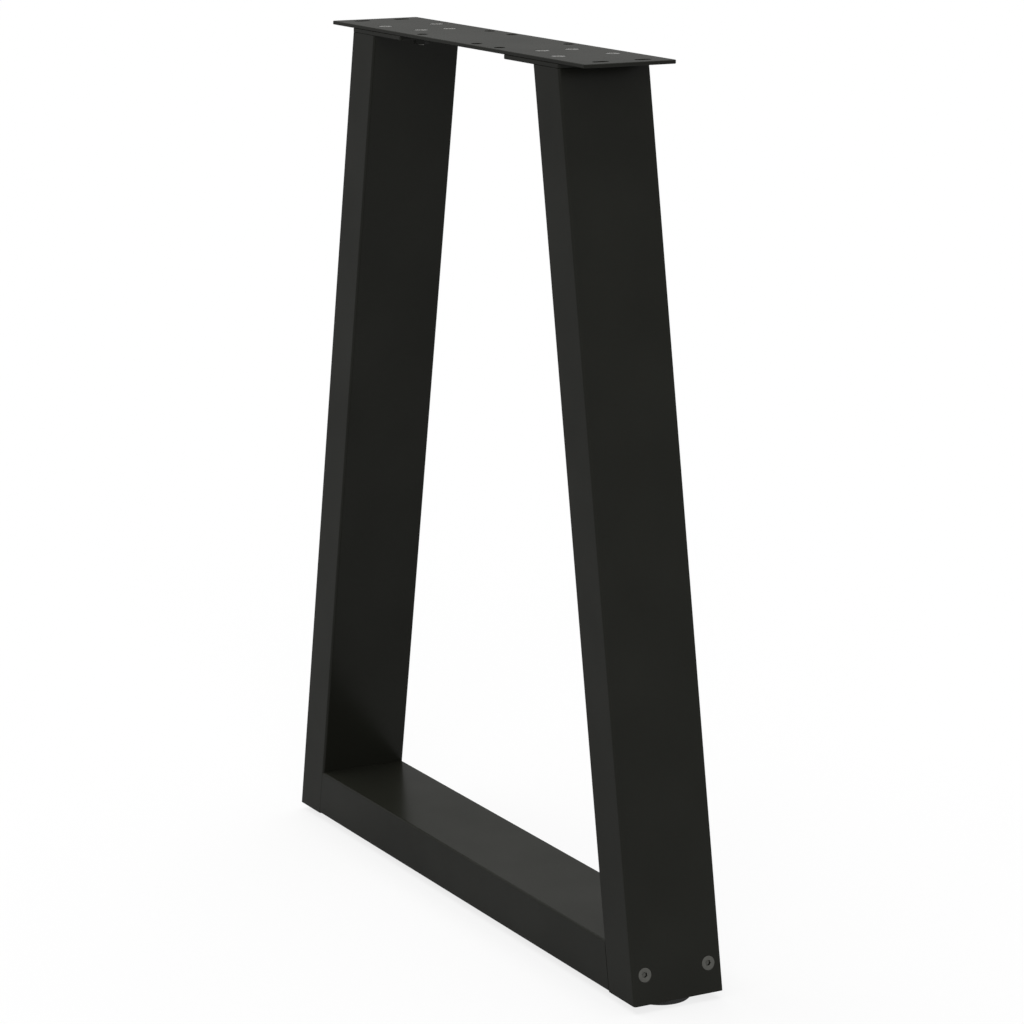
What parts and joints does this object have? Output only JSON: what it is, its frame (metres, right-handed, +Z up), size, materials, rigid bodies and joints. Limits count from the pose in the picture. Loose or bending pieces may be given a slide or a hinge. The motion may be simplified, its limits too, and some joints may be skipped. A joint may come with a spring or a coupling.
{
  "type": "table leg",
  "caption": "Trapezoid table leg of flat black steel tube, with a screwed-on top plate for fixing a table top and levelling feet under its bottom corners.",
  "frame": {"origin": "on the floor under the middle of the leg, with the feet screwed fully in", "axes": "+X along the leg's width, +Y along its depth, +Z up towards the table top"},
  "size_m": [0.6, 0.08, 0.72],
  "materials": {
    "frame_paint": "matte",
    "screw_steel": "satin",
    "stud_steel": "satin",
    "foot_plastic": "matte"
  },
  "bodies": {
    "frame": {"top_plate": "frame_paint", "bottom_rail": "frame_paint", "left_upright": "frame_paint", "right_upright": "frame_paint", "left_head_plate": "frame_paint", "right_head_plate": "frame_paint", "left_base_plate": "frame_paint", "right_base_plate": "frame_paint", "left_rail_end_plate": "frame_paint", "right_rail_end_plate": "frame_paint", "head_weld_nuts": "frame_paint", "rail_weld_nuts": "frame_paint", "left_foot_nut": "frame_paint", "right_foot_nut": "frame_paint", "plate_screws": "screw_steel", "rail_screws": "screw_steel"},
    "left_foot": {"left_foot_pad": "foot_plastic", "left_foot_stud": "stud_steel"},
    "right_foot": {"right_foot_pad": "foot_plastic", "right_foot_stud": "stud_steel"}
  },
  "joints": [
    {"name": "left_foot_screw", "type": "slide", "parent": "frame", "child": "left_foot", "axis": [0, 0, -1], "range_m": [0, 0.013]},
    {"name": "right_foot_screw", "type": "slide", "parent": "frame", "child": "right_foot", "axis": [0, 0, -1], "range_m": [0, 0.013]}
  ]
}
